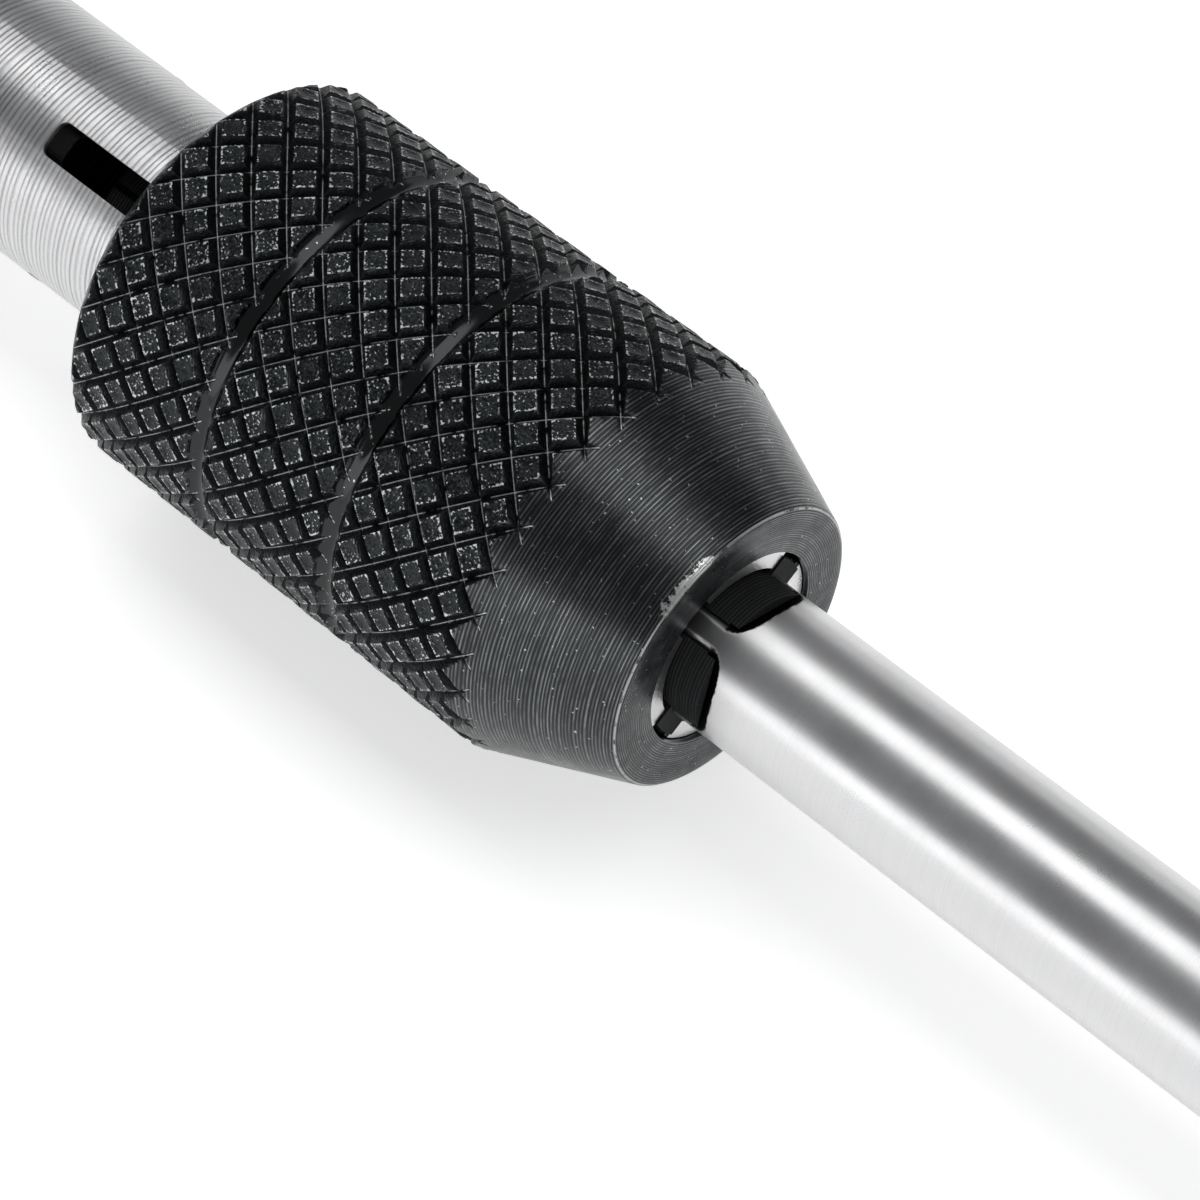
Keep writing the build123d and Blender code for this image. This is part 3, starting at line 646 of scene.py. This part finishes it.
def cone_rings(shader, radius):
    """Relief and tone of the turning tool's rings on the cone and, finer, on the nose face."""
    along = shader.times(shader.along("X"), RINGS_ALONG / MM)
    phase = shader.math("SUBTRACT", along, shader.times(radius, RINGS_OUT / MM))
    height, ring = shader.rings(phase, shader.noise(1200.0, 2.0, stretch_for("X")))
    gaps = shader.noise(9000.0, 3.0, stretch_for("X", 0.12))
    return height, shader.times(ring, shader.ramp(gaps, 0.34, 0.62, 0.35, 1.0))


def bare_edge(shader, across, radius, broken):
    """Bare steel where the nose's edge is rubbed, and a thin line of it round the rest of that edge."""
    rubbed_from = (0, math.cos(RUBBED_TURN), math.sin(RUBBED_TURN))
    facing = shader.vector("DOT_PRODUCT", shader.vector("NORMALIZE", across), rubbed_from, output=1)
    chips = shader.noise(3800.0, 4.0, rough=0.7)
    near = shader.ramp(facing, 0.950, 0.990, -0.45, 0.04)
    beside = shader.ramp(shader.along("X"), NOSE_X - RUBBED_WIDTH * MM, NOSE_X, -0.45, 0.10)
    outside = shader.ramp(radius, (NOSE_R - 0.2) * MM, (NOSE_R - 0.1) * MM)
    rub = shader.times(shader.ramp(shader.plus(chips, near, beside), 0.46, 0.56), outside)
    edge = shader.ramp(shader.attribute("edge"), 0.45, 1.0)
    thin = shader.times(edge, shader.ramp(broken, 0.0, 1.0, 0.05, 0.6))
    return shader.math("MAXIMUM", rub, thin)


def black_knurl(name):
    """Black oxide over knurled and turned steel, worn on the pads' rims, with painted highlight lines in
    the valleys.
    """
    shader = Shader(name, VALLEY_BLACK, 1.0, 0.4)
    knurled = shader.attribute("knurled")
    polished = shader.attribute("polished")
    counts = shader.parts(shader.node("ShaderNodeUVMap", {}, uv_map="knurl"))
    nears = [shader.math("PINGPONG", counts[family], 0.5) for family in (0, 1)]
    pad = shader.ramp(shader.math("MINIMUM", *nears), KNURL_VALLEY - 0.015, KNURL_VALLEY + 0.005)
    grains = shader.noise(8500.0, 2.0, rough=0.5)
    patches = shader.noise(700.0, 3.0)
    broken = shader.ramp(shader.noise(1500.0, 3.0), 0.36, 0.50)
    specks = shader.ramp(shader.noise(5200.0, 1.0), 0.735, 0.765)
    across, radius = shader.from_axis()
    height, ring = cone_rings(shader, radius)

    smooth = shader.mix(polished, shader.mix(ring, *CONE_BLACK), GROOVE_BLACK)
    smooth = shader.mix(specks, smooth, SPECK)
    pads = shader.mix(shader.ramp(grains, 0.35, 0.65), *PAD_BLACK)
    base = shader.mix(knurled, smooth, shader.mix(pad, VALLEY_BLACK, pads))
    # worn specks on the pads' rims, plus painted highlight lines in the valley bottoms
    base = shader.mix(knurl_wear_and_glints(shader, knurled, nears, grains, patches, broken), base, WORN_AND_GLINT)
    base = shader.mix(bare_edge(shader, across, radius, broken), base, BARE)
    shader.put("Base Color", base)

    even = shader.ramp(patches, 0.3, 0.7, 0.24, 0.34)
    even = shader.math("SUBTRACT", even, shader.times(polished, 0.14))
    coarse = shader.ramp(grains, 0.3, 0.7, 0.34, 0.55)
    roughness = shader.node("ShaderNodeMix", {"Factor": knurled, 2: even, 3: coarse}, data_type="FLOAT")
    shader.put("Roughness", roughness)

    fine = shader.noise(20000.0, 2.0, stretch_for("X", 0.3))
    plain = shader.math("SUBTRACT", shader.math("SUBTRACT", 1.0, knurled), polished)
    relief = shader.bump(shader.times(height, plain), 0.012 * MM)
    relief = shader.bump(shader.times(fine, plain), 0.003 * MM, relief)
    shader.put("Normal", shader.bump(shader.times(grains, knurled), 0.045 * MM, relief))
    return shader.material


def plain_metal(name, color, dark, low, high, depth=0.004, scale=5000.0):
    """Hardened or drawn steel with faint grain."""
    shader = Shader(name, color, 1.0, low)
    grain = shader.noise(scale, 4.0)
    patches = shader.noise(400.0, 3.0)
    shader.put("Base Color", shader.mix(shader.ramp(patches, 0.3, 0.7), dark, color))
    shader.put("Roughness", shader.ramp(grain, 0.3, 0.7, low, high))
    shader.put("Normal", shader.bump(grain, depth * MM))
    return shader.material


# painted shade inside radius 5.5, in the slots and the bore
turned_body = turned_metal("turned_steel", BRIGHT, "X", 0.30, 0.028, (0.26, 0.36), shade_core=5.5)
turned_head = turned_metal("turned_head", BRIGHT, "X", 0.22, 0.008, (0.20, 0.30), 0.6)
ground_shank = turned_metal("ground_shank", BRIGHT, "X", 0.07, 0.0022, (0.27, 0.33), 0.35)
ground_bar = turned_metal("ground_bar", BRIGHT, "Y", 0.07, 0.0014, (0.14, 0.22), 0.3)
black_turned = turned_metal("black_oxide_turned", BLACK, "X", 0.20, 0.008, (0.26, 0.36))
black_knob = turned_metal("black_oxide_knob", BLACK, "Y", 0.16, 0.006, (0.24, 0.34))
black_jaw = turned_metal("black_oxide_jaw", JAW_BLACK, "X", 0.16, 0.008, (0.38, 0.5), metallic=0.0)
tool_steel = plain_metal("tool_steel", (0.42, 0.42, 0.43), (0.34, 0.34, 0.35), 0.24, 0.36)
spring_steel = plain_metal("spring_steel", (0.50, 0.49, 0.47), (0.40, 0.39, 0.38), 0.20, 0.32)
bright_ball = plain_metal("bright_ball", (0.75, 0.75, 0.76), (0.70, 0.70, 0.71), 0.06, 0.12, 0.0005)
black_sleeve = black_knurl("black_oxide_knurl")

NODE_MATERIALS = {
    "chuck_body": turned_body,
    "handle_head": turned_head,
    "jaw_a": black_jaw,
    "jaw_b": black_jaw,
    "t_bar": ground_bar,
    "t_bar_knob_left": black_knob,
    "t_bar_knob_right": black_knob,
    "bar_plunger_body": black_turned,
    "spindle_screw": black_turned,
    "selector_ball": bright_ball,
    "bar_plunger_ball": bright_ball,
    "jaw_springs": spring_steel,
    "selector_spring": spring_steel,
    "bar_plunger_spring": spring_steel,
    "pawl_spring_a": spring_steel,
    "pawl_spring_b": spring_steel,
}
for node_name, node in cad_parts.items():
    material = NODE_MATERIALS.get(node_name, tool_steel)
    if not node.data.materials:
        node.data.materials.append(material)
    for number in range(len(node.material_slots)):
        node.material_slots[number].material = material


def mark(mesh, **tests):
    """Stores on each vertex whether each named test holds there."""
    points = np.zeros(len(mesh.vertices) * 3, np.float32)
    mesh.vertices.foreach_get("co", points)
    points = points.reshape(-1, 3).astype(float)
    s = (points[:, 0] - NOSE_X) / MM
    turn = np.arctan2(points[:, 2] - AXIS_Z, points[:, 1]) % TURN
    r = np.hypot(points[:, 2] - AXIS_Z, points[:, 1]) / MM
    for name, test in tests.items():
        layer = mesh.attributes.new(name, "FLOAT", "POINT")
        layer.data.foreach_set("value", test(turn, s, r).astype(np.float32))


ON_SURFACE = 0.01         # mm


def sleeve_is_knurled(turn, s, r):
    on_knurl = np.abs(knurl_surface(sleeve_knurl, turn, s) - r) < ON_SURFACE
    return on_knurl & (s < CONE_START + KNURL_RUNOUT)


def sleeve_is_polished(turn, s, r):
    in_groove = np.min([np.abs(s - groove) for groove in GROOVE_STATIONS], axis=0) < GROOVE_SECTION_R
    return in_groove & ~sleeve_is_knurled(turn, s, r)


def sleeve_is_edge(turn, s, r):
    return (np.abs(s - NOSE_EDGE) < ON_SURFACE) & (r > NOSE_HOLE_R + 1)


def collar_is_knurled(turn, s, r):
    return np.abs(knurl_surface(collar_knurl, turn, s) - r) < ON_SURFACE


def tap_is_milled(turn, s, r):
    """The curved ends of the square's flats, which get a painted dark reflection."""
    return (s > SQUARE_END - ON_SURFACE) & (s < SQUARE_END + RUNOUT_R) & (r < SHANK_R - ON_SURFACE)


sleeve_mesh = build_sleeve()
mark(sleeve_mesh, knurled=sleeve_is_knurled, polished=sleeve_is_polished, edge=sleeve_is_edge)
add_piece("knurled_sleeve", sleeve_mesh, "sleeve", "black_oxide", black_sleeve, "chuck_sleeve")
collar_mesh = build_collar()
mark(collar_mesh, knurled=collar_is_knurled)
add_piece("knurled_collar", collar_mesh, "selector", "black_oxide", black_sleeve, "selector_collar")
tap_mesh = build_tap()
# the run-outs get a painted dark reflection
mark(tap_mesh, milled=tap_is_milled)
add_piece("cutting_tap", tap_mesh, "tap", "ground_steel", ground_shank, "tap")

# ---- floor ----
FLOOR_HALF = 3.0          # m
FLOOR_GLOW = 0.58
WHITE = (1.0, 1.0, 1.0)

floor_mesh = bpy.data.meshes.new("floor")
floor_corners = [(x * FLOOR_HALF, y * FLOOR_HALF, 0) for x, y in ((-1, -1), (1, -1), (1, 1), (-1, 1))]
floor_mesh.from_pydata(floor_corners, [], [(0, 1, 2, 3)])
floor = bpy.data.objects.new("floor", floor_mesh)
bpy.context.scene.collection.objects.link(floor)
white = Shader("white_floor", (0.9, 0.9, 0.9), 0.0, 0.9, Emission_Color=WHITE, Emission_Strength=FLOOR_GLOW)
floor_mesh.materials.append(white.material)

bpy.context.view_layer.update()
